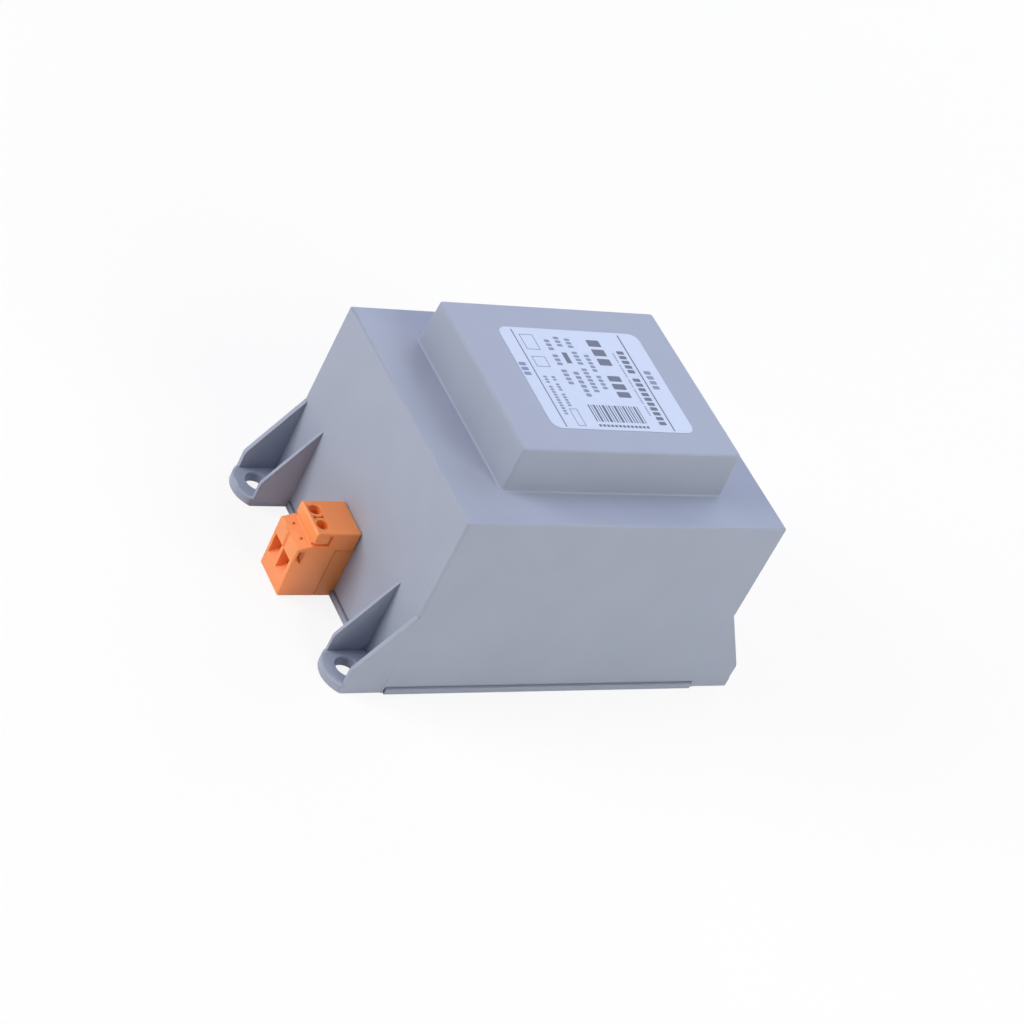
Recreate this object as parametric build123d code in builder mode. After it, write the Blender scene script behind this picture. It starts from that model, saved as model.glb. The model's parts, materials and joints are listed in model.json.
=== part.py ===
"""Potted mains transformer in a moulded case, with four ribbed feet and two plug-in screw terminals.

Millimetres, +Z up, origin in the middle of the base. The core lies flat with its long side along X.
The coil is taller than the stack of laminations, which gives the case its raised middle.
The primary terminal is at +X and the secondary terminal at -X. They are the same connector, so the
pieces of the primary side are made first and the secondary side is a half turn about Z.
"""
import os
from math import atan2, degrees

from build123d import *

# Core: EI laminations cut without waste, whose sizes all follow from the middle leg
leg_width = 35.0
stack_height = 45.0
window_width = leg_width / 2
side_leg = leg_width / 2
window_length = 1.5 * leg_width
core_length = leg_width + 2 * (window_width + side_leg)
core_width = window_length + 2 * side_leg

# Bobbin and windings
bobbin_wall = 1.5
bobbin_leg_gap = 0.2
bobbin_window_gap = 0.2
bobbin_rim_gap = 0.5
bobbin_corner = 2.0
partition_wall = 1.2
winding_gap = 0.15
winding_corner = 7.0
tape_thickness = 0.35
tape_rim_gap = 0.6

# Case
wall = 2.0
case_corner = 1.0
top_edge = 0.7
body_draft = 0.45
hump_draft = 0.48
hump_foot_edge = 0.6
core_end_gap = 1.5
core_side_gap = 0.45
core_roof_gap = 1.75
coil_end_gap = 1.82
coil_side_gap = 3.87
coil_roof_gap = 0.35

# Base cover
cover_thickness = 2.0
cover_lip = 0.6
cover_lip_end = 1.15
cover_gap = 0.25
cover_seam = 0.5
cover_rim_height = 3.0
cover_rim_wall = 1.5
coil_floor_gap = 0.35

# Feet
foot_reach = 13.0
foot_bulge = 3.5
foot_inner = 31.2
foot_step = 0.2
foot_thickness = 3.2
foot_edge = 0.7
foot_hole = 7.2
foot_hole_reach = 8.6
foot_countersink = 0.45
inner_gusset = 1.1
outer_gusset = 1.5
gusset_height = 30.7
gusset_end = 9.1
gusset_round = 4.0
gusset_setback = 0.3

# Terminal plugs
poles = 2
pole_pitch = 6.35
plug_side = 0.85
plug_top = 25.6
plug_floor = 0.15
plug_reach = 19.1
plug_lean = 0.5
plug_round = 0.6
plug_edge = 0.3
plug_wall_gap = 0.15
tower_reach = 14.75
ledge_inner = 20.5
ledge_outer = 19.1
screw_reach = 11.75
screw_funnel = 4.0
screw_bore = 3.3
collar_wall = 0.9
collar_slot = 3.5
collar_slot_depth = 2.5
wire_funnel_width = 5.1
wire_funnel_low = 5.6
wire_funnel_high = 13.5
wire_funnel_depth = 3.2
wire_throat_width = 4.2
wire_throat_low = 8.0
wire_throat_high = 12.9
rib_groove_width = 1.6
rib_groove_depth = 0.8
test_hole = 1.1
test_hole_reach = 16.4
test_hole_depth = 4.0
slot_front_inset = 0.9
slot_length = 2.1
slot_high = 18.2
slot_low_front = 14.8
slot_low_back = 13.5
slot_depth = 2.8
seam_reach = 9.75
seam_high = 24.4
seam_low = 21.1
seam_width = 0.6
seam_depth = 0.9

# Clamps, screws and contacts in the plugs
cage_width = 4.6
cage_length = 5.0
cage_low = 5.8
cage_high = 14.4
cage_side = 0.6
cage_base = 1.6
cage_gap = 0.1
cage_lift = 0.6
screw_size = 3.0
screw_thread_gap = 0.03
screw_head = 3.7
screw_head_height = 2.0
screw_head_top = 18.6
screw_slot = 0.8
screw_slot_depth = 1.1
screw_slot_turn = 35
contact_width = 2.6
contact_thickness = 0.6
contact_gap = 0.1

# Headers in the case wall, and their pins
header_reach = 6.0
header_side = 0.3
header_top = 18.6
header_gap = 0.2
header_neck_gap = 0.1
header_wall = 1.15
header_roof = 2.2
header_socket_floor = 4.2
header_back = 3.0
header_flange = 2.0
header_flange_thickness = 1.5
header_inner_reach = 5.8
tongue_gap = 0.2
tongue_end_gap = 0.4
pin_size = 1.0
pin_height = 10.3
pin_tip_gap = 1.9
pin_tail = 3.5
pin_gap = 0.2

# Leads from the windings to the headers
lead_diameter = 2.2
lead_near = 5.5
lead_spacing = 13.0
lead_gap = 0.1
lead_opening = 4.6

# Rating label
label_length = 50.4
label_width = 44.4
label_corner = 3.2
label_thickness = 0.15
label_shift_x = 1.4
label_shift_y = -0.6

# Places of the coil and the core
tube_hole = leg_width + 2 * bobbin_leg_gap
tube_hole_height = stack_height + 2 * bobbin_leg_gap
tube_span = tube_hole + 2 * bobbin_wall
tube_height = tube_hole_height + 2 * bobbin_wall
bobbin_length = window_length - 2 * bobbin_window_gap
rim_span = leg_width + 2 * (window_width - bobbin_rim_gap)
rim_height = stack_height + 2 * (window_width - bobbin_rim_gap)
coil_low = cover_thickness + coil_floor_gap
coil_middle = coil_low + rim_height / 2
stack_low = coil_middle - stack_height / 2
stack_high = coil_middle + stack_height / 2
tape_span = rim_span - 2 * tape_rim_gap
tape_height = rim_height - 2 * tape_rim_gap
winding_span = tape_span - 2 * tape_thickness
winding_height = tape_height - 2 * tape_thickness
chamber_near = partition_wall / 2 + winding_gap
chamber_far = bobbin_length / 2 - bobbin_wall - winding_gap
chamber_length = chamber_far - chamber_near
chamber = (0, -(chamber_near + chamber_far) / 2, coil_middle)

# Places of the case, its feet and its cover
body_height = stack_high + core_roof_gap + wall
case_height = coil_low + rim_height + coil_roof_gap + wall
hump_length = rim_span + 2 * (coil_end_gap + wall + hump_draft)
hump_width = bobbin_length + 2 * (coil_side_gap + wall + hump_draft)
wall_x = core_length / 2 + core_end_gap + wall + body_draft
wall_y = core_width / 2 + core_side_gap + wall + body_draft
inner_x = wall_x - wall
inner_y = wall_y - wall
body_slope = body_draft / body_height
body_taper = degrees(atan2(body_draft, body_height))
hump_taper = degrees(atan2(hump_draft, case_height - body_height))
lip_x = wall_x - cover_lip_end
foot_outer = wall_y - foot_step
foot_middle = (foot_inner + foot_outer) / 2
foot_root = wall_x - wall / 2
foot_end = wall_x + foot_reach
gusset_reach = foot_end - gusset_setback
hole_x = wall_x + foot_hole_reach
rim_x = inner_x - cover_gap - body_draft
rim_y = inner_y - cover_gap - body_draft

# Places of the terminals, on the +X side
pole_places = [(n - (poles - 1) / 2) * pole_pitch for n in range(poles)]
plug_width = poles * pole_pitch + 2 * plug_side
plug_face = wall_x + plug_reach
plug_back = wall_x + plug_wall_gap
plug_seat = header_top + header_gap
tower_face = wall_x + tower_reach
screw_x = wall_x + screw_reach
screw_places = [(screw_x, pole) for pole in pole_places]
screw_head_low = screw_head_top - screw_head_height
funnel_end = plug_face - wire_funnel_depth
seam_x = wall_x + seam_reach
slot_front = plug_face - slot_front_inset
slot_back = slot_front - slot_length
header_face = wall_x + header_reach
header_width = plug_width - 2 * header_side
header_inner = wall_x - header_inner_reach
neck_face = wall_x + cover_lip + header_gap
neck_low = cover_thickness + header_neck_gap
flange_face = inner_x - header_gap
flange_width = header_width + 2 * header_flange
socket_width = header_width - 2 * header_wall
socket_roof = header_top - header_roof
socket_back = wall_x - header_back
tongue_end = socket_back + tongue_end_gap
tongue_width = socket_width - 2 * tongue_gap
pin_tip = header_face - pin_tip_gap
tail_end = header_inner - pin_tail
cage_back = screw_x - cage_length / 2
cage_front = screw_x + cage_length / 2
cage_window_low = cage_low + cage_base
cage_window_high = cage_high - cage_base
bar_high = cage_window_high - contact_gap
bar_low = bar_high - contact_thickness
contact_heel = pin_tip + pin_gap
contact_low = pin_height - contact_width / 2
contact_high = pin_height + contact_width / 2

# Side view of a contact: a socket for the pin, and a bar into the clamp's window
contact_line = [
    (tongue_end + contact_gap, contact_low), (contact_heel + contact_thickness, contact_low),
    (contact_heel + contact_thickness, bar_low), (cage_front - contact_gap, bar_low),
    (cage_front - contact_gap, bar_high), (contact_heel, bar_high), (contact_heel, contact_high),
    (tongue_end + contact_gap, contact_high),
]

os.makedirs("parts", exist_ok=True)


def keep(piece, name):
    """Labels a finished piece and writes its file."""
    piece.label = name
    export_step(piece, f"parts/{name}.step")


def between(low, high):
    """Adds a box from its lowest to its highest corner."""
    size = [high[n] - low[n] for n in range(3)]
    middle = Vector(*[(high[n] + low[n]) / 2 for n in range(3)])
    with Locations(middle):
        Box(*size)


def coil_ring(span, height, corner, hole_span, hole_height, hole_corner, depth):
    """A ring around the core's middle leg, centred on the origin and running along Y."""
    with BuildPart() as ring:
        with BuildSketch(Plane.XZ):
            RectangleRounded(span, height, corner)
            if hole_corner > 0:
                RectangleRounded(hole_span, hole_height, hole_corner, mode=Mode.SUBTRACT)
            else:
                Rectangle(hole_span, hole_height, mode=Mode.SUBTRACT)
        extrude(amount=depth / 2, both=True)
    return ring.part


def case_space(low):
    """The room inside the case, from a given height up to the inside of its roof."""
    ceiling = body_height - wall
    with BuildPart() as space:
        with BuildSketch(Plane.XY.offset(low)):
            Rectangle(2 * (inner_x - body_slope * low), 2 * (inner_y - body_slope * low))
        extrude(amount=ceiling - low, taper=body_taper)
        with BuildSketch(Plane.XY.offset(ceiling)):
            Rectangle(hump_length - 2 * wall, hump_width - 2 * wall)
        extrude(amount=case_height - wall - ceiling, taper=hump_taper)
    return space.part


def rounded_block(length, width, height, taper):
    """A tapered block on the ground, with its upright edges and then its top edges rounded."""
    with BuildPart() as block:
        with BuildSketch():
            Rectangle(length, width)
        extrude(amount=height, taper=taper)
        fillet(block.edges().group_by(Axis.Z)[1], case_corner)
        fillet(block.edges().group_by(Axis.Z)[-1], top_edge)
    return block.part


def gusset(low_side, thickness):
    """One rib of a foot, placed by its side nearer to the middle, with its outer corner rounded."""
    with BuildPart() as rib:
        with BuildSketch(Plane.XZ.offset(-low_side)):
            with BuildLine():
                Polyline(
                    (foot_root, 0), (gusset_reach, 0), (gusset_reach, gusset_end),
                    (wall_x, gusset_height), (foot_root, gusset_height), close=True)
            make_face()
        extrude(amount=-thickness)
        corner = rib.edges().filter_by(Axis.Y).group_by(Axis.X)[-1].sort_by(Axis.Z)[-1]
        fillet(corner, gusset_round)
    return rib.part


def foot():
    """One foot, at +X and +Y: a plate with a bowed end and a screw hole, and a rib along each side."""
    near = (foot_end, foot_inner)
    far = (foot_end, foot_outer)
    with BuildPart() as piece:
        with BuildSketch():
            with BuildLine():
                Polyline(far, (foot_root, foot_outer), (foot_root, foot_inner), near)
                ThreePointArc(near, (foot_end + foot_bulge, foot_middle), far)
            make_face()
        extrude(amount=foot_thickness)
        bowed_edge = piece.edges().filter_by(GeomType.CIRCLE).sort_by(Axis.Z)[-1]
        chamfer(bowed_edge, foot_edge)
        with Locations((hole_x, foot_middle, foot_thickness)):
            CounterSinkHole(foot_hole / 2, foot_hole / 2 + foot_countersink, counter_sink_angle=90)
        add(gusset(foot_inner, inner_gusset))
        add(gusset(foot_outer - outer_gusset, outer_gusset))
    return piece.part


def header_block():
    """The outer shape of a header: its shroud outside the wall, its neck and its inner flange."""
    with BuildPart() as block:
        between((neck_face, -header_width / 2, plug_floor), (header_face, header_width / 2, header_top))
        between((header_inner, -header_width / 2, neck_low), (neck_face, header_width / 2, header_top))
        between((flange_face - header_flange_thickness, -flange_width / 2, neck_low),
                (flange_face, flange_width / 2, header_top + header_flange))
    return block.part


def pin_pair(start, end):
    """The square pins of both poles, from one place along X to another."""
    half = pin_size / 2
    with BuildPart() as pair:
        for pole in pole_places:
            between((start, pole - half, pin_height - half), (end, pole + half, pin_height + half))
    return pair.part


def lead_pair(diameter):
    """Both leads of one side: straight, from the tails of the pins to the side of the winding."""
    with BuildPart() as pair:
        for n, pole in enumerate(reversed(pole_places)):
            pin_end = Vector(tail_end, pole, pin_height)
            wire_end = Vector(winding_span / 2, -(lead_near + n * lead_spacing), pin_height)
            with BuildSketch(Plane((pin_end + wire_end) / 2, z_dir=wire_end - pin_end)):
                Circle(diameter / 2)
            extrude(amount=(wire_end - pin_end).length / 2 + diameter, both=True)
        split(bisect_by=Plane.YZ.offset(tail_end), keep=Keep.BOTTOM)
        split(bisect_by=Plane.YZ.offset(winding_span / 2), keep=Keep.TOP)
    return pair.part


# Feet: one at each end of both long sides
with BuildPart() as feet:
    add(foot())
    mirror(about=Plane.YZ)
    mirror(about=Plane.XZ)

# Case: body, hump and feet are one moulding, open below
with BuildPart() as housing:
    add(rounded_block(2 * wall_x, 2 * wall_y, body_height, body_taper))
    with Locations((0, 0, body_height)):
        add(rounded_block(hump_length, hump_width, case_height - body_height, hump_taper))
    ledge = housing.faces().filter_by(Axis.Z).sort_by(Axis.Z)[-2]
    chamfer(ledge.inner_wires()[0].edges(), hump_foot_edge)
    add(feet.part)
    add(case_space(0), mode=Mode.SUBTRACT)
    with BuildSketch():
        Rectangle(2 * lip_x, 2 * (wall_y + cover_lip))
        Rectangle(2 * wall_x, 2 * (inner_y - body_draft), mode=Mode.SUBTRACT)
        Rectangle(2 * (wall_x + cover_lip), 2 * foot_inner)
    extrude(amount=cover_thickness + cover_seam, mode=Mode.SUBTRACT)
    with BuildSketch():
        Rectangle(2 * header_face, header_width + 2 * header_neck_gap)
    extrude(amount=header_top + header_neck_gap, mode=Mode.SUBTRACT)
keep(housing.part, "housing")

# Base cover: a plate with a lip under each wall, and a rim that stands inside the walls
with BuildPart() as base_cover:
    with BuildSketch():
        Rectangle(2 * (lip_x - cover_gap), 2 * (wall_y + cover_lip))
        Rectangle(2 * wall_x, 2 * (inner_y + cover_gap), mode=Mode.SUBTRACT)
        Rectangle(2 * (inner_x - cover_gap), 2 * (inner_y + cover_gap))
        Rectangle(2 * (wall_x + cover_lip), 2 * (foot_inner - cover_gap))
    extrude(amount=cover_thickness)
    with BuildSketch(Plane.XY.offset(cover_thickness)):
        Rectangle(2 * rim_x, 2 * rim_y)
        Rectangle(2 * (rim_x - cover_rim_wall), 2 * (rim_y - cover_rim_wall), mode=Mode.SUBTRACT)
        Rectangle(2 * wall_x, flange_width + 2 * cover_gap, mode=Mode.SUBTRACT)
    extrude(amount=cover_rim_height)
keep(base_cover.part, "base_cover")

# Laminations: the E stack opens towards +Y and the I stack closes it
with BuildPart() as e_laminations:
    with BuildSketch(Plane.XY.offset(stack_low)):
        with Locations((0, -side_leg / 2)):
            Rectangle(core_length, core_width - side_leg)
        window_x = (leg_width + window_width) / 2
        with Locations((-window_x, 0), (window_x, 0)):
            Rectangle(window_width, window_length, mode=Mode.SUBTRACT)
    extrude(amount=stack_height)
keep(e_laminations.part, "e_laminations")

with BuildPart() as i_laminations:
    with BuildSketch(Plane.XY.offset(stack_low)):
        with Locations((0, (core_width - side_leg) / 2)):
            Rectangle(core_length, side_leg)
    extrude(amount=stack_height)
keep(i_laminations.part, "i_laminations")

# Bobbin: a tube on the middle leg, two end rims, and the wall between the two windings
with BuildPart() as bobbin:
    rim_y_place = (bobbin_length - bobbin_wall) / 2
    with Locations((0, 0, coil_middle)):
        add(coil_ring(tube_span, tube_height, bobbin_wall, tube_hole, tube_hole_height, 0, bobbin_length))
        add(coil_ring(rim_span, rim_height, bobbin_corner, tube_hole, tube_hole_height, 0, partition_wall))
    with Locations((0, -rim_y_place, coil_middle), (0, rim_y_place, coil_middle)):
        add(coil_ring(rim_span, rim_height, bobbin_corner, tube_hole, tube_hole_height, 0, bobbin_wall))
keep(bobbin.part, "bobbin")

# What the potting leaves free: core, coil, cover rim, headers, pins and leads
with BuildPart() as taken:
    with Locations((0, 0, coil_middle)):
        Box(core_length, core_width, stack_height)
    with BuildSketch(Plane.XZ):
        with Locations((0, coil_middle)):
            RectangleRounded(rim_span, rim_height, bobbin_corner)
    extrude(amount=bobbin_length / 2, both=True)
    with BuildSketch(Plane.XY.offset(cover_thickness)):
        Rectangle(2 * inner_x, 2 * inner_y)
        Rectangle(2 * (rim_x - cover_rim_wall), 2 * (rim_y - cover_rim_wall), mode=Mode.SUBTRACT)
    extrude(amount=cover_rim_height)
    for turn in (0, 180):
        add(header_block(), rotation=(0, 0, turn))
        add(pin_pair(tail_end, header_inner), rotation=(0, 0, turn))
        add(lead_pair(lead_diameter + 2 * lead_gap), rotation=(0, 0, turn))

# Potting: fills the case around the core and all that is wired to it
with BuildPart() as potting:
    add(case_space(cover_thickness))
    add(taken.part, mode=Mode.SUBTRACT)
keep(potting.part, "potting")

# Rating label on the hump
with BuildPart() as rating_label:
    with BuildSketch(Plane.XY.offset(case_height)):
        with Locations((label_shift_x, label_shift_y)):
            RectangleRounded(label_length, label_width, label_corner)
    extrude(amount=label_thickness)
keep(rating_label.part, "rating_label")

# Winding of one side, in its chamber of the bobbin
with BuildPart() as winding:
    with Locations(chamber):
        add(coil_ring(
            winding_span, winding_height, winding_corner,
            tube_span + 2 * winding_gap, tube_height + 2 * winding_gap, bobbin_wall, chamber_length))

# Outer tape of the winding, open where the leads come out
with BuildPart() as tape:
    with Locations(chamber):
        add(coil_ring(
            tape_span, tape_height, winding_corner + tape_thickness,
            winding_span, winding_height, winding_corner, chamber_length))
    for n in range(poles):
        lead_side = -(lead_near + n * lead_spacing)
        with Locations((tape_span / 2, lead_side, pin_height)):
            Box(4 * tape_thickness, lead_opening, lead_opening, mode=Mode.SUBTRACT)

# Header: the fixed half of the connector, set in the case wall
with BuildPart() as header:
    add(header_block())
    with BuildSketch(Plane.YZ.offset(socket_back)):
        with Locations((0, (header_socket_floor + socket_roof) / 2)):
            Rectangle(socket_width, socket_roof - header_socket_floor)
    extrude(amount=header_face - socket_back, mode=Mode.SUBTRACT)
    add(pin_pair(header_inner, socket_back), mode=Mode.SUBTRACT)

# What is hollow in the plug: for its clamps, screws, contacts and wires, and the marks on its outside
with BuildPart() as plug_hollows:
    for pole in pole_places:
        between((cage_back - cage_gap, pole - cage_width / 2 - cage_gap, cage_low - cage_gap),
                (cage_front + cage_gap, pole + cage_width / 2 + cage_gap, cage_high + cage_lift))
        between((cage_front, pole - wire_throat_width / 2, wire_throat_low),
                (funnel_end, pole + wire_throat_width / 2, wire_throat_high))
        with BuildSketch(Plane.YZ.offset(funnel_end)):
            with Locations((pole, (wire_throat_low + wire_throat_high) / 2)):
                Rectangle(wire_throat_width, wire_throat_high - wire_throat_low)
        with BuildSketch(Plane.YZ.offset(plug_face)):
            with Locations((pole, (wire_funnel_low + wire_funnel_high) / 2)):
                Rectangle(wire_funnel_width, wire_funnel_high - wire_funnel_low)
        loft()
        with BuildSketch(Plane.XZ.offset(-pole)):
            with BuildLine():
                Polyline(*contact_line, close=True)
            make_face()
            offset(amount=contact_gap, kind=Kind.INTERSECTION)
        extrude(amount=contact_width / 2 + contact_gap, both=True)
    with BuildSketch(Plane.XY.offset(cage_high)):
        with Locations(*screw_places):
            Circle(screw_bore / 2)
    extrude(amount=plug_top - cage_high)
    with BuildSketch(Plane.XY.offset(screw_head_low - cage_gap)):
        with Locations(*screw_places):
            Circle(screw_funnel / 2)
    extrude(amount=plug_top - screw_head_low + cage_gap)
    with BuildSketch(Plane.XY.offset(plug_top - collar_slot_depth)):
        with Locations((screw_x, 0)):
            Rectangle(collar_slot, pole_pitch)
        with Locations(*screw_places):
            Circle(screw_funnel / 2 + collar_wall, mode=Mode.SUBTRACT)
    extrude(amount=collar_slot_depth)
    with BuildSketch(Plane.XY.offset(wire_funnel_high)):
        with BuildLine():
            Polyline(
                (plug_face - rib_groove_depth, 0), (plug_face, -rib_groove_width / 2),
                (plug_face, rib_groove_width / 2), close=True)
        make_face()
    extrude(amount=ledge_inner - wire_funnel_high)
    with BuildSketch(Plane.XY.offset(ledge_outer - test_hole_depth)):
        with Locations(*[(wall_x + test_hole_reach, pole) for pole in pole_places]):
            Circle(test_hole / 2)
    extrude(amount=ledge_inner - ledge_outer + test_hole_depth)
    for side in (-1, 1):
        with BuildSketch(Plane.XZ.offset(-side * (plug_width - slot_depth) / 2)):
            with BuildLine():
                Polyline(
                    (slot_front, slot_high), (slot_back, slot_high), (slot_back, slot_low_back),
                    (slot_front, slot_low_front), close=True)
            make_face()
        extrude(amount=slot_depth / 2, both=True)
        with BuildSketch(Plane.XZ.offset(-side * (plug_width - seam_depth) / 2)):
            with Locations((seam_x, (seam_low + seam_high) / 2)):
                Rectangle(seam_width, seam_high - seam_low + seam_width)
            with Locations(((seam_x + tower_face) / 2, seam_low)):
                Rectangle(tower_face - seam_x, seam_width)
        extrude(amount=seam_depth / 2, both=True)

# Plug: the screw tower and wire entries of the connector, with a tongue that fits the header
with BuildPart() as plug:
    with BuildSketch(Plane.XZ) as side_view:
        with BuildLine():
            Polyline(
                (plug_back, plug_seat), (plug_back, plug_top), (tower_face, plug_top), (tower_face, ledge_inner),
                (plug_face, ledge_outer), (plug_face - plug_lean, plug_floor),
                (header_face + header_gap, plug_floor), (header_face + header_gap, plug_seat), close=True)
        make_face()
        outer_corners = side_view.vertices().filter_by(lambda corner: corner.X > tower_face - plug_round)
        fillet(outer_corners, plug_round)
    extrude(amount=plug_width / 2, both=True)
    chamfer(plug.faces().filter_by(Axis.Y).edges(), plug_edge)
    between((tongue_end, -tongue_width / 2, header_socket_floor + tongue_gap),
            (header_face + 2 * header_gap, tongue_width / 2, socket_roof - tongue_gap))
    add(plug_hollows.part, mode=Mode.SUBTRACT)

# Rising clamps, one in each pole of the plug
with BuildPart() as clamps:
    for pole in pole_places:
        with BuildSketch(Plane.YZ.offset(cage_back)):
            with Locations((pole, (cage_low + cage_high) / 2)):
                Rectangle(cage_width, cage_high - cage_low)
                Rectangle(cage_width - 2 * cage_side, cage_high - cage_low - 2 * cage_base, mode=Mode.SUBTRACT)
    extrude(amount=cage_length)
    with Locations(*[(screw_x, pole, cage_high) for pole in pole_places]):
        Hole(screw_size / 2 + screw_thread_gap, depth=cage_base)

# Clamp screws: each stands on its contact and lifts its clamp
with BuildPart() as screws:
    with BuildSketch(Plane.XY.offset(bar_high)):
        with Locations(*screw_places):
            Circle(screw_size / 2)
    extrude(amount=screw_head_low - bar_high)
    with BuildSketch(Plane.XY.offset(screw_head_low)):
        with Locations(*screw_places):
            Circle(screw_head / 2)
    extrude(amount=screw_head_height)
    with BuildSketch(Plane.XY.offset(screw_head_top - screw_slot_depth)):
        with Locations(*screw_places):
            Rectangle(screw_slot, screw_head, rotation=screw_slot_turn)
    extrude(amount=screw_slot_depth, mode=Mode.SUBTRACT)

# Contacts: each joins a pin of the header to a clamp
with BuildPart() as contacts:
    for pole in pole_places:
        with BuildSketch(Plane.XZ.offset(-pole)):
            with BuildLine():
                Polyline(*contact_line, close=True)
            make_face()
        extrude(amount=contact_width / 2, both=True)
    with BuildSketch(Plane.YZ.offset(tongue_end)):
        with Locations(*[(pole, pin_height) for pole in pole_places]):
            Rectangle(pin_size + 2 * pin_gap, pin_size + 2 * pin_gap)
    extrude(amount=contact_heel - tongue_end, mode=Mode.SUBTRACT)

# Both sides have the same pieces, the secondary side turned by half a turn
side_pieces = {
    "winding": winding.part, "tape": tape.part, "leads": lead_pair(lead_diameter), "header": header.part,
    "pins": pin_pair(tail_end, pin_tip), "plug": plug.part, "clamps": clamps.part, "screws": screws.part,
    "contacts": contacts.part,
}
for name, piece in side_pieces.items():
    keep(piece, f"primary_{name}")
    keep(piece.rotate(Axis.Z, 180), f"secondary_{name}")

print("case", round(2 * wall_x, 2), round(2 * wall_y, 2), round(body_height, 2), round(case_height, 2))
print("hump", round(hump_length, 2), round(hump_width, 2), "reach", round(plug_face, 2))
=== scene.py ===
"""Looks of a potted mains transformer: moulded case, printed label, plug-in screw terminals and its coil."""
import json
import math

import bpy
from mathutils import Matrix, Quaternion, Vector

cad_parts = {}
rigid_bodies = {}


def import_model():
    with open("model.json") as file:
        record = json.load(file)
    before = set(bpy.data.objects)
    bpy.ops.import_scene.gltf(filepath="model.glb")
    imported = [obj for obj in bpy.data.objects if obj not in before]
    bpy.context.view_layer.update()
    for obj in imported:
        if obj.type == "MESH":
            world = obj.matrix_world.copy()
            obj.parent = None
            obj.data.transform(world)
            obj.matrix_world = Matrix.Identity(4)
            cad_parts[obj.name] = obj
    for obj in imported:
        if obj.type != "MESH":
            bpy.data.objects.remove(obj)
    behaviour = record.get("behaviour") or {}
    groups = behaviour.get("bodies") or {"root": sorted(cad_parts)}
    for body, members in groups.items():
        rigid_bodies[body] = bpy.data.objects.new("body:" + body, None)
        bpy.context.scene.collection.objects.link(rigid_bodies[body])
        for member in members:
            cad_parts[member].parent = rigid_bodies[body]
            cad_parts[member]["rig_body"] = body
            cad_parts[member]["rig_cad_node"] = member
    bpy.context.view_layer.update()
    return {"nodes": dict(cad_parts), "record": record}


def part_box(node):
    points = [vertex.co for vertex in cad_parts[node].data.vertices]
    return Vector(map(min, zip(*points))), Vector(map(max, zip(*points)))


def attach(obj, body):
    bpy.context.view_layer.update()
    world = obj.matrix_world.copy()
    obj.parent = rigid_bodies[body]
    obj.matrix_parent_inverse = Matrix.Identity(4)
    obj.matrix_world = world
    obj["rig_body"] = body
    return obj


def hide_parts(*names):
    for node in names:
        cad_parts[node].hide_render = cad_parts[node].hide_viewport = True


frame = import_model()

MM = 0.001

# Joining and smoothing of the moulded pieces
merge_distance = 0.001 * MM
flat_angle = math.radians(0.2)
moulding_smooth_angle = math.radians(32)

# Label film, laid a little askew
label_film = 0.12 * MM
label_corner = 3.2 * MM
label_corner_segments = 10
label_turn = math.radians(-0.4)
print_thickness = 0.02 * MM

# Clamp screws. The slot's cutter is longer than the head is wide
head_radius = 1.85 * MM
head_height = 2 * MM
head_sides = 48
head_edge = 0.25 * MM
head_edge_segments = 3
shank_radius = 1.5 * MM
thread_pitch = 0.5 * MM
thread_depth = 0.28 * MM
slot_width = 0.8 * MM
slot_depth = 1.1 * MM
slot_cutter_length = 3 * head_radius
slot_angle = math.radians(35)
screw_smooth_angle = math.radians(30)
# A face of a screw is one of its two ends where its normal has more than this along Z
level_normal = 0.9

# The step in each side of a plug, as distances back from the plug's outer end, and heights
step_start = 3.9 * MM
step_end = 9.85 * MM
step_floor = 20.6 * MM
step_roof = 21.6 * MM
step_top = 24.7 * MM
step_width = 1.0 * MM
step_depth = 1.3 * MM

# Floor. Its own white is this much of what the camera sees of it, and the rest is lit paper with the shadow.
# The white grows to the whole between the two distances from the object
floor_size = 6
floor_drop = 0.02 * MM
floor_white = 0.85
fade_start = 200 * MM
fade_end = 900 * MM

# Square lamps that aim at the object: name, place, power in watts and colour
lamp_size = 0.8
lamps = (
    ("left_lamp", (-1.05, 0.4, 0.6), 11.1, "#FFFFFF"),
    ("top_lamp", (-0.25, 0.12, 1.28), 4.2, "#DCDCFF"),
    ("front_lamp", (0.35, -1.05, 0.8), 11.2, "#FFFEFA"),
    ("back_lamp", (0.9, 1.0, 0.6), 4.5, "#E4E4FF"),
    ("right_lamp", (0.8, 0.1, 0.9), 4.7, "#CFE1FF"),
)
# What the tent around them adds to the light on the object
tent_colour = "#EEF3FF"
tent_strength = 0.02

# Where the photograph was taken from. The sensor and the lens are in millimetres
camera_place = Vector((-512.2, -562.8, 564.0)) * MM
camera_heading = math.radians(47.82)
camera_tilt = math.radians(35.16)
camera_roll = math.radians(-28.56)
camera_sensor = 36
camera_lens = 107.62
camera_near = 50 * MM

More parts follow.
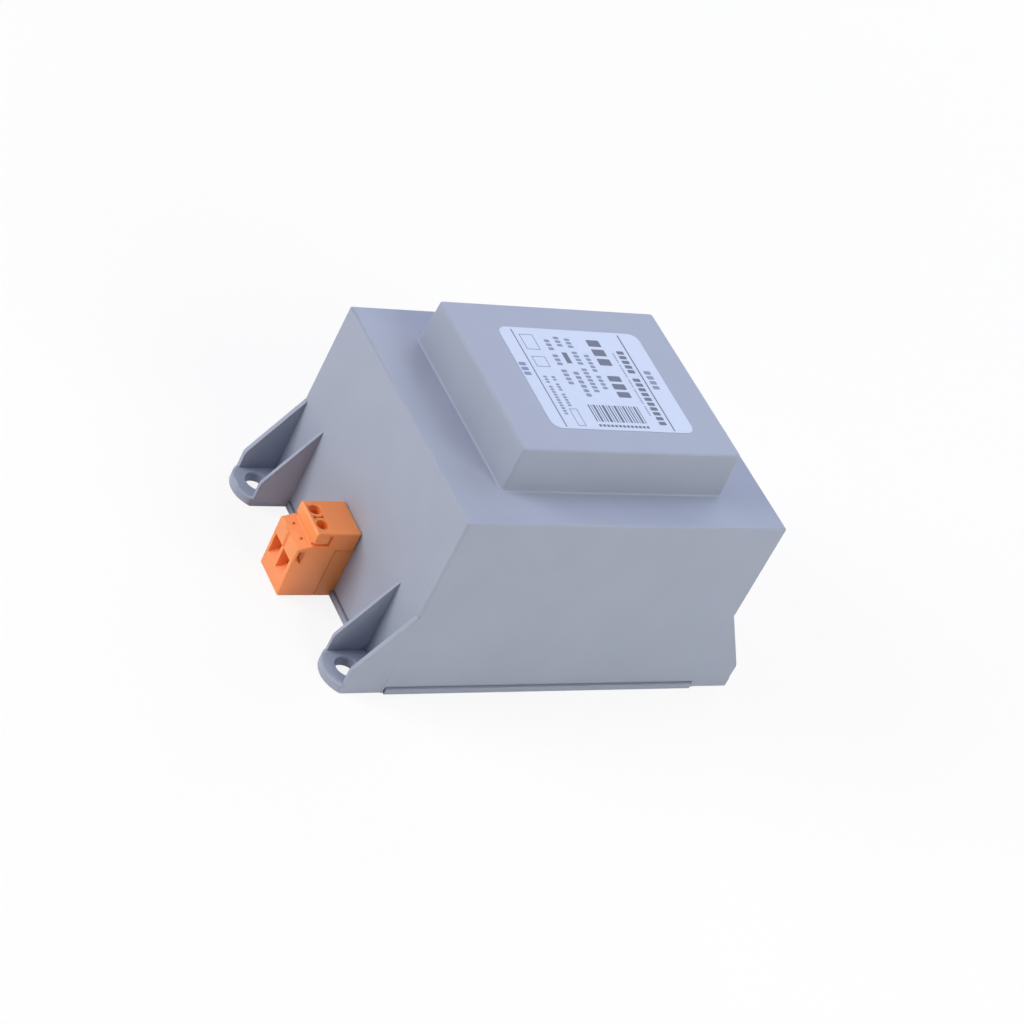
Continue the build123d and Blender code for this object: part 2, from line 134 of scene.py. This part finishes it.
# Print on the label, in millimetres of the frame. Each word is a row of plain blocks, one for each character:
# middle of the row along X, height of its blocks, where it starts along Y, pitch of the blocks, and its words
bold_rows = (
    (16.3, 2.6, 13.0, 2.1, (5, 10)),
    (8.4, 4.6, 17.4, 4.2, (3,)),
    (8.4, 4.6, 1.4, 3.5, (3,)),
)
fine_rows = (
    (13.5, 0.7, 12.0, 0.75, (6, 8, 5, 9, 6)),
    (3.0, 1.7, 10.5, 1.6, (5, 4)),
    (-0.8, 1.9, 17.5, 1.55, (3, 4, 7)),
    (-4.5, 1.9, 18.0, 1.6, (3,)),
    (-4.5, 1.9, 2.5, 1.9, (6,)),
    (-8.4, 1.9, 16.5, 1.75, (3, 3, 4)),
    (-13.6, 1.3, 0.0, 1.15, (2, 3, 5)),
    (-16.5, 1.3, 0.0, 1.15, (3, 11)),
    (22.0, 2.4, 4.5, 2.2, (4,)),
    (-22.0, 2.4, 5.6, 2.1, (3,)),
)
# How much of its pitch a block fills, and how much of a pitch lies between two words
block_share = 0.7
word_gap = 0.8
block_corner = 0.3
block_corner_segments = 2

# Lowest and highest corner of each solid field, and of each outlined field
solid_fields = (
    ((-19.2, -22.0), (-18.8, 20.4)),
    ((18.9, -22.0), (19.4, 20.4)),
    ((-5.5, 6.2), (-3.7, 11.0)),
)
outlined_fields = (
    ((-17.2, 11.6), (-12.4, 18.4)),
    ((-17.2, 4.0), (-12.4, 8.6)),
    ((-14.6, -21.4), (-11.8, -14.0)),
)
outline_width = 0.3

# Field of stripes between two corners, and beside it a row of small blocks with its middle at this place on Y
stripes_low = (-7.2, -19.2)
stripes_high = (11.0, -11.9)
stripe_widths = (0.5, 0.3, 0.8, 0.3, 0.5, 1.0, 0.3, 0.6, 0.3, 0.9, 0.4, 0.3, 0.7, 0.4)
stripe_gap = 0.5
stripe_blocks = 13
stripe_block_row = -20.8
stripe_block_height = 1.0
stripe_block_pitch = 1.4

# A wave texture repeats at this length where its scale is 1
wave_length = 0.314
# Sockets of a Mix node for colours, whose names other kinds of value share
mix_first = 6
mix_second = 7
mix_result = 2

nodes = frame["nodes"]
bodies = {
    node: body for body, members in frame["record"]["behaviour"]["bodies"].items() for node in members
}


def linear(hex_colour):
    """An sRGB hex colour as the linear values that a shader takes."""
    channels = [int(hex_colour[n:n + 2], 16) / 255 for n in (1, 3, 5)]
    return (*[c / 12.92 if c <= 0.04045 else ((c + 0.055) / 1.055) ** 2.4 for c in channels], 1.0)


def add_node(tree, kind, settings=None, links=None):
    """Adds a shader node. A setting is one of its own properties, or the value of an input."""
    made = tree.nodes.new(kind)
    for key, value in (settings or {}).items():
        if isinstance(key, str) and hasattr(made, key):
            setattr(made, key, value)
        else:
            made.inputs[key].default_value = value
    for key, source in (links or {}).items():
        tree.links.new(source, made.inputs[key])
    return made


def new_material(name):
    """An empty material with its output, and the place on the object that its patterns read."""
    material = bpy.data.materials.new(name)
    material.use_nodes = True
    tree = material.node_tree
    tree.nodes.clear()
    output = add_node(tree, "ShaderNodeOutputMaterial")
    place = add_node(tree, "ShaderNodeTexCoord").outputs["Object"]
    return material, tree, output, place


def two_tone(tree, factor, dark, light):
    """A colour between two tones, by a factor."""
    mix = add_node(
        tree, "ShaderNodeMix",
        {"data_type": "RGBA", mix_first: linear(dark), mix_second: linear(light)}, {"Factor": factor})
    return mix.outputs[mix_result]


def moulded_plastic(name, dark, light, roughness, grain, relief, edge, optics=None):
    """Injection moulded plastic: faint clouding, a grain that breaks the gloss, and softened edges."""
    material, tree, output, place = new_material(name)
    cloud = 14 * MM
    clouds = add_node(tree, "ShaderNodeTexNoise", {"Scale": 1 / cloud, "Detail": 3.0}, {"Vector": place})
    texture = add_node(tree, "ShaderNodeTexNoise", {"Scale": 1 / grain, "Detail": 2.0}, {"Vector": place})
    rounded = add_node(tree, "ShaderNodeBevel", {"samples": 4, "Radius": edge})
    bump = add_node(
        tree, "ShaderNodeBump", {"Strength": 0.35, "Distance": relief},
        {"Height": texture.outputs[0], "Normal": rounded.outputs[0]})
    shine = add_node(
        tree, "ShaderNodeMapRange", {"To Min": roughness - 0.05, "To Max": roughness + 0.07},
        {"Value": clouds.outputs[0]})
    shader = add_node(
        tree, "ShaderNodeBsdfPrincipled", {"IOR": 1.5, **(optics or {})},
        {"Base Color": two_tone(tree, clouds.outputs[0], dark, light), "Roughness": shine.outputs[0],
         "Normal": bump.outputs[0]})
    tree.links.new(shader.outputs[0], output.inputs[0])
    return material


def case_abs():
    """Flame retardant ABS from a sparked mould: matt, grey with a blue cast, and next to no gloss."""
    return moulded_plastic(
        "case_abs", "#9CA3B2", "#A4ABBA", roughness=0.48, grain=0.5 * MM, relief=0.02 * MM, edge=0.25 * MM,
        optics={"Specular IOR Level": 0.2})


def cover_abs():
    """The same plastic as the case, from another mould: a shade darker, with sharper edges."""
    return moulded_plastic(
        "cover_abs", "#979EAD", "#9FA6B5", roughness=0.5, grain=0.5 * MM, relief=0.02 * MM, edge=0.15 * MM,
        optics={"Specular IOR Level": 0.2})


def orange_polyamide():
    """Polyamide from a smooth mould: strong orange that lets light through, so its shaded faces glow."""
    return moulded_plastic(
        "orange_polyamide", "#FC8D45", "#FF964F",
        roughness=0.45, grain=0.35 * MM, relief=0.008 * MM, edge=0.12 * MM,
        optics={"Specular IOR Level": 0.8, "Subsurface Weight": 0.5, "Subsurface Scale": 4 * MM,
                "Subsurface Radius": (1.0, 0.4, 0.15)})


def bobbin_polyamide():
    """Glass filled polyamide, moulded in its natural colour: chalky and pale, with cloudy patches."""
    return moulded_plastic(
        "bobbin_polyamide", "#CFC9B4", "#E4DFCE",
        roughness=0.55, grain=0.4 * MM, relief=0.03 * MM, edge=0.2 * MM)


def lead_insulation():
    """Extruded insulation of a flexible lead: dark, with a soft shine."""
    return moulded_plastic(
        "lead_insulation", "#1B1C20", "#25262B",
        roughness=0.38, grain=0.3 * MM, relief=0.01 * MM, edge=0.1 * MM)


def cast_resin():
    """Polyurethane resin, cast and cured: dark and glossy, with small bubbles at the surface, each painted
    darker at its bottom as painted shade.
    """
    material, tree, output, place = new_material("cast_resin")
    bubble_spacing = 2.5 * MM
    bubbles = add_node(tree, "ShaderNodeTexVoronoi", {"Scale": 1 / bubble_spacing}, {"Vector": place})
    pit_depth_and_shade = add_node(
        tree, "ShaderNodeMapRange", {"From Max": 0.25}, {"Value": bubbles.outputs["Distance"]})
    bump = add_node(
        tree, "ShaderNodeBump", {"Strength": 0.5, "Distance": 0.15 * MM}, {"Height": pit_depth_and_shade.outputs[0]})
    # The dips of the bubbles take the darker tone of the resin: painted shade in the recesses, on top of
    # their bump.
    shader = add_node(
        tree, "ShaderNodeBsdfPrincipled", {"Roughness": 0.22, "IOR": 1.5},
        {"Base Color": two_tone(tree, pit_depth_and_shade.outputs[0], "#191A1C", "#26272A"), "Normal": bump.outputs[0]})
    tree.links.new(shader.outputs[0], output.inputs[0])
    return material


def silicon_steel():
    """Sheets of silicon steel, punched and varnished: fine dark joints between them, blued faces."""
    material, tree, output, place = new_material("silicon_steel")
    sheet = 0.5 * MM
    stain = 9 * MM
    joints = add_node(
        tree, "ShaderNodeTexWave", {"bands_direction": "Z", "Scale": wave_length / sheet, "Distortion": 0.2},
        {"Vector": place})
    varnish = add_node(tree, "ShaderNodeTexNoise", {"Scale": 1 / stain, "Detail": 4.0}, {"Vector": place})
    bump = add_node(
        tree, "ShaderNodeBump", {"Strength": 0.6, "Distance": 0.05 * MM}, {"Height": joints.outputs["Fac"]})
    shine = add_node(
        tree, "ShaderNodeMapRange", {"To Min": 0.3, "To Max": 0.5}, {"Value": varnish.outputs[0]})
    shader = add_node(
        tree, "ShaderNodeBsdfPrincipled", {"Metallic": 0.9},
        {"Base Color": two_tone(tree, varnish.outputs[0], "#4A4F5A", "#6A6C72"),
         "Roughness": shine.outputs[0], "Normal": bump.outputs[0]})
    tree.links.new(shader.outputs[0], output.inputs[0])
    return material


def enamelled_copper():
    """Layers of enamelled copper wire: close ridges round the coil under a clear amber coat, painted darker
    in the grooves as painted shade and lighter on their tops as a painted highlight.
    """
    material, tree, output, place = new_material("enamelled_copper")
    wire = 0.9 * MM
    turns = add_node(
        tree, "ShaderNodeTexWave",
        {"bands_direction": "Y", "wave_profile": "SIN", "Scale": wave_length / wire}, {"Vector": place})
    bump = add_node(
        tree, "ShaderNodeBump", {"Strength": 1.0, "Distance": 0.3 * MM}, {"Height": turns.outputs["Fac"]})
    # The colour follows the ridges: painted shade in the grooves between turns, a painted highlight along
    # their tops.
    shader = add_node(
        tree, "ShaderNodeBsdfPrincipled", {"Metallic": 1.0, "Roughness": 0.3, "Coat Weight": 0.6},
        {"Base Color": two_tone(tree, turns.outputs["Fac"], "#6E2F14", "#B86636"),
         "Normal": bump.outputs[0]})
    tree.links.new(shader.outputs[0], output.inputs[0])
    return material


def winding_tape():
    """Polyester tape in overlapping wraps: glossy yellow film with a step at each edge, painted darker at the
    foot of each step as painted shade and lighter where it rises as a painted highlight.
    """
    material, tree, output, place = new_material("winding_tape")
    wrap = 8 * MM
    wraps = add_node(
        tree, "ShaderNodeTexWave",
        {"bands_direction": "Y", "wave_profile": "SAW", "Scale": wave_length / wrap}, {"Vector": place})
    bump = add_node(
        tree, "ShaderNodeBump", {"Strength": 0.6, "Distance": 0.06 * MM}, {"Height": wraps.outputs["Fac"]})
    # The colour follows the relief of each wrap: painted shade at the foot of a step, a painted highlight
    # where it rises to the next.
    shader = add_node(
        tree, "ShaderNodeBsdfPrincipled", {"Roughness": 0.2, "IOR": 1.6},
        {"Base Color": two_tone(tree, wraps.outputs["Fac"], "#C9931D", "#E3B63A"),
         "Normal": bump.outputs[0]})
    tree.links.new(shader.outputs[0], output.inputs[0])
    return material


def plated_metal(name, dark, light, roughness):
    """Barrel plated metal: bright, with small patches where the plating is duller, and softened edges."""
    material, tree, output, place = new_material(name)
    patch = 1.8 * MM
    patches = add_node(tree, "ShaderNodeTexNoise", {"Scale": 1 / patch, "Detail": 4.0}, {"Vector": place})
    shine = add_node(
        tree, "ShaderNodeMapRange", {"To Min": roughness - 0.08, "To Max": roughness + 0.12},
        {"Value": patches.outputs[0]})
    rounded = add_node(tree, "ShaderNodeBevel", {"samples": 4, "Radius": 0.08 * MM})
    bump = add_node(
        tree, "ShaderNodeBump", {"Strength": 0.3, "Distance": 0.01 * MM},
        {"Height": patches.outputs[0], "Normal": rounded.outputs[0]})
    shader = add_node(
        tree, "ShaderNodeBsdfPrincipled", {"Metallic": 1.0},
        {"Base Color": two_tone(tree, patches.outputs[0], dark, light), "Roughness": shine.outputs[0],
         "Normal": bump.outputs[0]})
    tree.links.new(shader.outputs[0], output.inputs[0])
    return material


def label_polyester():
    """Satin polyester label film: cold white with a faint orange peel from its adhesive."""
    material, tree, output, place = new_material("label_polyester")
    dimple = 3 * MM
    peel = add_node(tree, "ShaderNodeTexNoise", {"Scale": 1 / dimple, "Detail": 2.0}, {"Vector": place})
    bump = add_node(
        tree, "ShaderNodeBump", {"Strength": 0.15, "Distance": 0.03 * MM}, {"Height": peel.outputs[0]})
    shader = add_node(
        tree, "ShaderNodeBsdfPrincipled", {"Roughness": 0.36, "IOR": 1.55},
        {"Base Color": two_tone(tree, peel.outputs[0], "#B6C2D6", "#BECADC"), "Normal": bump.outputs[0]})
    tree.links.new(shader.outputs[0], output.inputs[0])
    return material


def transfer_ink(name, dark, light):
    """Thermal transfer print: a matt ink whose tone varies where the ribbon gave less."""
    material, tree, output, place = new_material(name)
    fleck = 0.6 * MM
    flecks = add_node(tree, "ShaderNodeTexNoise", {"Scale": 1 / fleck, "Detail": 3.0}, {"Vector": place})
    shader = add_node(
        tree, "ShaderNodeBsdfPrincipled", {"Roughness": 0.5},
        {"Base Color": two_tone(tree, flecks.outputs[0], dark, light)})
    tree.links.new(shader.outputs[0], output.inputs[0])
    return material


def select_only(obj):
    """Selects one object and nothing else."""
    bpy.ops.object.select_all(action="DESELECT")
    bpy.context.view_layer.objects.active = obj
    obj.select_set(True)


def start_editing(obj):
    """Opens an object's mesh for editing, with all of it selected."""
    select_only(obj)
    bpy.ops.object.mode_set(mode="EDIT")
    bpy.ops.mesh.select_all(action="SELECT")


def settle(obj):
    """Puts an object's place into its mesh, so that the object itself sits at the origin."""
    select_only(obj)
    bpy.ops.object.transform_apply(location=True, rotation=True, scale=True)


def finish_modifiers(obj):
    """Applies all modifiers of an object, in their order."""
    select_only(obj)
    for modifier in list(obj.modifiers):
        bpy.ops.object.modifier_apply(modifier=modifier.name)


def subtract(obj, cutters):
    """Takes the cutters out of an object, and then away."""
    for cutter in cutters:
        cut = obj.modifiers.new("cut", "BOOLEAN")
        cut.operation = "DIFFERENCE"
        cut.solver = "EXACT"
        cut.object = cutter
    finish_modifiers(obj)
    for cutter in cutters:
        bpy.data.objects.remove(cutter)


def dress(obj, material, node):
    """Gives a new piece its material, and the body of the node that it belongs to."""
    obj.data.materials.clear()
    obj.data.materials.append(material)
    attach(obj, bodies[node])


def step_cutters(side, outward):
    """Blocks that widen the step in both sides of a plug, which shows as a dark corner under the screws."""
    low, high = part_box(f"{side}_plug")
    end = high.x if outward > 0 else low.x
    riser = (step_end - step_width, step_floor, step_top)
    tread = (step_start, step_floor, step_roof)
    cutters = []
    for flank in (low.y, high.y):
        for start, bottom, top in (riser, tread):
            bpy.ops.mesh.primitive_cube_add(
                size=1, location=(end - outward * (start + step_end) / 2, flank, (bottom + top) / 2),
                scale=(step_end - start, 2 * step_depth, top - bottom))
            cutters.append(bpy.context.object)
    return cutters


def smooth_moulding(node, material, cutters=()):
    """A moulding with its facets joined, its flat faces kept flat and its round edges shaded smooth."""
    obj = nodes[node].copy()
    obj.data = nodes[node].data.copy()
    obj.name = f"{node}_moulding"
    obj.parent = None
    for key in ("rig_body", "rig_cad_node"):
        del obj[key]
    bpy.context.scene.collection.objects.link(obj)
    start_editing(obj)
    bpy.ops.mesh.remove_doubles(threshold=merge_distance)
    bpy.ops.object.mode_set(mode="OBJECT")
    subtract(obj, cutters)
    start_editing(obj)
    bpy.ops.mesh.dissolve_limited(angle_limit=flat_angle)
    bpy.ops.object.mode_set(mode="OBJECT")
    bpy.ops.object.shade_smooth_by_angle(angle=moulding_smooth_angle)
    weighted = obj.modifiers.new("weighted", "WEIGHTED_NORMAL")
    weighted.keep_sharp = True
    finish_modifiers(obj)
    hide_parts(node)
    dress(obj, material, node)


def thicken(depth):
    """Gives the flat mesh that is open for editing its thickness, and closes it with its faces outwards."""
    bpy.ops.mesh.select_all(action="SELECT")
    bpy.ops.mesh.extrude_region_move(TRANSFORM_OT_translate={"value": (0, 0, depth)})
    bpy.ops.mesh.select_all(action="SELECT")
    bpy.ops.mesh.normals_make_consistent(inside=False)
    bpy.ops.object.mode_set(mode="OBJECT")


def label_sheet(material):
    """The label: a thin film with round corners, laid a little askew on the raised middle."""
    low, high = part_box("rating_label")
    bpy.ops.mesh.primitive_plane_add(size=1, location=((low.x + high.x) / 2, (low.y + high.y) / 2, low.z))
    sheet = bpy.context.object
    sheet.name = "label_sheet"
    start_editing(sheet)
    long_side = high.x - low.x
    short_side = high.y - low.y
    width = long_side * math.cos(label_turn) - short_side * abs(math.sin(label_turn))
    height = short_side * math.cos(label_turn) - long_side * abs(math.sin(label_turn))
    bpy.ops.transform.resize(value=(width, height, 1))
    bpy.ops.mesh.bevel(offset=label_corner, segments=label_corner_segments, affect="VERTICES")
    thicken(label_film)
    sheet.rotation_euler.z = label_turn
    settle(sheet)
    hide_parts("rating_label")
    dress(sheet, material, "rating_label")


def print_field(low, high, height):
    """A flat field of print between two corners in millimetres, in the mesh that is open for editing."""
    middle = ((low[0] + high[0]) / 2 * MM, (low[1] + high[1]) / 2 * MM, height)
    bpy.ops.mesh.primitive_plane_add(size=MM, location=middle)
    bpy.ops.transform.resize(value=(high[0] - low[0], high[1] - low[1], 1), center_override=middle)


def print_words(rows, height):
    """Rows of plain blocks with round corners, one for each character."""
    for x, block_height, start, pitch, words in rows:
        bottom = x - block_height / 2
        top = x + block_height / 2
        for letters in words:
            for n in range(letters):
                left = start - n * pitch
                print_field((bottom, left - pitch * block_share), (top, left), height)
            start -= (letters + word_gap) * pitch
    bpy.ops.mesh.select_all(action="SELECT")
    bpy.ops.mesh.bevel(
        offset=block_corner * MM, segments=block_corner_segments, affect="VERTICES", clamp_overlap=True)


def print_outline(low, high, height):
    """Four bars along the edges of a field."""
    inner_low = (low[0] + outline_width, low[1] + outline_width)
    inner_high = (high[0] - outline_width, high[1] - outline_width)
    print_field(low, (inner_low[0], high[1]), height)
    print_field((inner_high[0], low[1]), high, height)
    print_field((inner_low[0], low[1]), (inner_high[0], inner_low[1]), height)
    print_field((inner_low[0], inner_high[1]), (inner_high[0], high[1]), height)


def print_stripes(height):
    """Plain stripes of a few widths, and the row of small blocks beside them."""
    x = stripes_low[0]
    while x < stripes_high[0]:
        for width in stripe_widths:
            if x + width < stripes_high[0]:
                print_field((x, stripes_low[1]), (x + width, stripes_high[1]), height)
            x += width + stripe_gap
    bottom = stripe_block_row - stripe_block_height / 2
    top = stripe_block_row + stripe_block_height / 2
    for n in range(stripe_blocks):
        x = stripes_low[0] + n * stripe_block_pitch
        print_field((x, bottom), (x + stripe_block_pitch * block_share, top), height)


def label_print(name, material, rows, fields=(), outlines=(), stripes=False):
    """All print of one ink on the label film, as thick as its ink and half sunk into the film."""
    low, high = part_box("rating_label")
    height = low.z + label_film - print_thickness / 2
    bpy.ops.mesh.primitive_plane_add(size=MM)
    sheet = bpy.context.object
    sheet.name = name
    start_editing(sheet)
    bpy.ops.mesh.delete(type="VERT")
    print_words(rows, height)
    for low_corner, high_corner in fields:
        print_field(low_corner, high_corner, height)
    for low_corner, high_corner in outlines:
        print_outline(low_corner, high_corner, height)
    if stripes:
        print_stripes(height)
    thicken(print_thickness)
    middle = Vector(((low.x + high.x) / 2, (low.y + high.y) / 2, 0))
    turn = Quaternion((0, 0, 1), label_turn)
    sheet.rotation_euler.z = label_turn
    sheet.location = middle - turn @ middle
    settle(sheet)
    dress(sheet, material, "rating_label")


def threaded_screw(name, x, y, low, high, head_low, material, node):
    """A clamp screw: slotted head with a rounded rim on a threaded shank."""
    bpy.ops.mesh.primitive_cylinder_add(
        vertices=head_sides, radius=head_radius, depth=high - head_low,
        location=(x, y, (high + head_low) / 2))
    screw = bpy.context.object
    screw.name = name
    start_editing(screw)
    bpy.ops.mesh.select_all(action="DESELECT")
    bpy.ops.object.mode_set(mode="OBJECT")
    for face in screw.data.polygons:
        face.select = face.normal.z > level_normal
    bpy.ops.object.mode_set(mode="EDIT")
    bpy.ops.mesh.bevel(offset=head_edge, segments=head_edge_segments)
    bpy.ops.object.mode_set(mode="OBJECT")
    for face in screw.data.polygons:
        face.select = face.normal.z < -level_normal
    bpy.ops.object.mode_set(mode="EDIT")
    bpy.ops.mesh.inset(thickness=head_radius - shank_radius)
    thread_root = shank_radius - thread_depth
    turns = int((head_low - low) / thread_pitch)
    step = (head_low - low) / turns
    for _ in range(turns):
        for now, across in ((shank_radius, thread_root), (thread_root, shank_radius)):
            bpy.ops.mesh.extrude_region_move(TRANSFORM_OT_translate={"value": (0, 0, -step / 2)})
            bpy.ops.transform.resize(value=(across / now, across / now, 1), center_override=(x, y, 0))
    bpy.ops.object.mode_set(mode="OBJECT")
    bpy.ops.mesh.primitive_cube_add(
        size=1, location=(x, y, high), rotation=(0, 0, slot_angle),
        scale=(slot_width, slot_cutter_length, 2 * slot_depth))
    subtract(screw, [bpy.context.object])
    settle(screw)
    bpy.ops.object.shade_smooth_by_angle(angle=screw_smooth_angle)
    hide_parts(node)
    dress(screw, material, node)


def clamp_screws(side, material):
    """Both clamp screws of one plug, which stand for the plain ones."""
    node = f"{side}_screws"
    low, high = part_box(node)
    x = (low.x + high.x) / 2
    reach = (high.y - low.y) / 2 - head_radius
    head_low = high.z - head_height
    for letter, y in (("a", reach), ("b", -reach)):
        threaded_screw(f"{side}_screw_{letter}", x, y, low.z, high.z, head_low, material, node)


def seen_rays(tree):
    """Light Path, and whether a ray comes from the camera or from a glossy surface."""
    rays = add_node(tree, "ShaderNodeLightPath")
    seen = add_node(
        tree, "ShaderNodeMath", {"operation": "MAXIMUM"},
        {0: rays.outputs["Is Camera Ray"], 1: rays.outputs["Is Glossy Ray"]})
    return rays, seen.outputs[0]


def studio_floor():
    """A sheet of pale paper that looks white to the camera, and keeps a soft shadow round the object."""
    bpy.ops.mesh.primitive_plane_add(size=floor_size, location=(0, 0, -floor_drop))
    floor = bpy.context.object
    floor.name = "studio_floor"
    material, tree, output, place = new_material("floor_paper")
    flock = 40 * MM
    fibres = add_node(tree, "ShaderNodeTexNoise", {"Scale": 1 / flock}, {"Vector": place})
    paper = add_node(
        tree, "ShaderNodeBsdfPrincipled", {"Roughness": 0.9},
        {"Base Color": two_tone(tree, fibres.outputs[0], "#F6F3EC", "#FAF7F1")})
    white = add_node(tree, "ShaderNodeEmission", {"Strength": 1.0})
    seen = seen_rays(tree)[1]
    distance = add_node(tree, "ShaderNodeVectorMath", {"operation": "LENGTH"}, {0: place})
    fade = add_node(
        tree, "ShaderNodeMapRange", {"From Min": fade_start, "From Max": fade_end, "To Min": floor_white},
        {"Value": distance.outputs["Value"]})
    share = add_node(tree, "ShaderNodeMath", {"operation": "MULTIPLY"}, {0: seen, 1: fade.outputs[0]})
    mix = add_node(
        tree, "ShaderNodeMixShader", None, {0: share.outputs[0], 1: paper.outputs[0], 2: white.outputs[0]})
    tree.links.new(mix.outputs[0], output.inputs[0])
    floor.data.materials.append(material)


def studio_light():
    """A tent that is white to the eye and in reflections, with large soft lamps around the object."""
    world = bpy.data.worlds.new("studio")
    world.use_nodes = True
    bpy.context.scene.world = world
    tree = world.node_tree
    tree.nodes.clear()
    output = add_node(tree, "ShaderNodeOutputWorld")
    rays, seen = seen_rays(tree)
    shown = add_node(
        tree, "ShaderNodeMath", {"operation": "MAXIMUM"}, {0: seen, 1: rays.outputs["Is Transmission Ray"]})
    tent = add_node(
        tree, "ShaderNodeBackground", {"Color": linear(tent_colour), "Strength": tent_strength})
    white = add_node(tree, "ShaderNodeBackground", {"Color": linear("#FFFFFF"), "Strength": 1.0})
    mix = add_node(
        tree, "ShaderNodeMixShader", None, {0: shown.outputs[0], 1: tent.outputs[0], 2: white.outputs[0]})
    tree.links.new(mix.outputs[0], output.inputs[0])
    for name, place, power, colour in lamps:
        lamp = bpy.data.lights.new(name, "AREA")
        lamp.energy = power
        lamp.size = lamp_size
        lamp.color = linear(colour)[:3]
        holder = bpy.data.objects.new(name, lamp)
        holder.location = place
        holder.rotation_euler = (-Vector(place)).to_track_quat("-Z", "Y").to_euler()
        bpy.context.scene.collection.objects.link(holder)


def photo_camera():
    """The camera, at the photograph's place and angle."""
    lens = bpy.data.cameras.new("photo_camera")
    lens.sensor_width = camera_sensor
    lens.lens = camera_lens
    lens.clip_start = camera_near
    camera = bpy.data.objects.new("photo_camera", lens)
    aim = Vector((
        math.cos(camera_heading) * math.cos(camera_tilt),
        math.sin(camera_heading) * math.cos(camera_tilt),
        -math.sin(camera_tilt)))
    camera.rotation_mode = "QUATERNION"
    camera.rotation_quaternion = aim.to_track_quat("-Z", "Y") @ Quaternion((0, 0, 1), -camera_roll)
    camera.location = camera_place
    bpy.context.scene.collection.objects.link(camera)
    bpy.context.scene.camera = camera


photo_camera()
studio_light()
studio_floor()

orange = orange_polyamide()
zinc = plated_metal("zinc_plated_steel", "#A9ACB0", "#D2D4D6", roughness=0.3)
tin = plated_metal("tinned_bronze", "#B5B3AC", "#DAD8D2", roughness=0.32)

smooth_moulding("housing", case_abs())
smooth_moulding("base_cover", cover_abs())
label_sheet(label_polyester())
dark_ink = transfer_ink("dark_transfer_ink", "#414A5C", "#5A647A")
pale_ink = transfer_ink("pale_transfer_ink", "#66728C", "#7E8AA4")
label_print("label_bold_print", dark_ink, bold_rows, fields=solid_fields, stripes=True)
label_print("label_fine_print", pale_ink, fine_rows, outlines=outlined_fields)
for side, outward in (("primary", 1), ("secondary", -1)):
    smooth_moulding(f"{side}_plug", orange, step_cutters(side, outward))
    smooth_moulding(f"{side}_header", orange)
    clamp_screws(side, zinc)

# The pieces whose shape stays as it comes, most of them inside the case
core_steel = silicon_steel()
finishes = {
    "potting": cast_resin(), "e_laminations": core_steel, "i_laminations": core_steel,
    "bobbin": bobbin_polyamide(),
}
coil = {
    "winding": enamelled_copper(), "tape": winding_tape(), "leads": lead_insulation(),
    "pins": tin, "contacts": tin, "clamps": zinc,
}
for side in ("primary", "secondary"):
    for piece, material in coil.items():
        finishes[f"{side}_{piece}"] = material
for node, material in finishes.items():
    for slot in nodes[node].material_slots:
        slot.material = material

bpy.context.scene.view_settings.view_transform = "Standard"
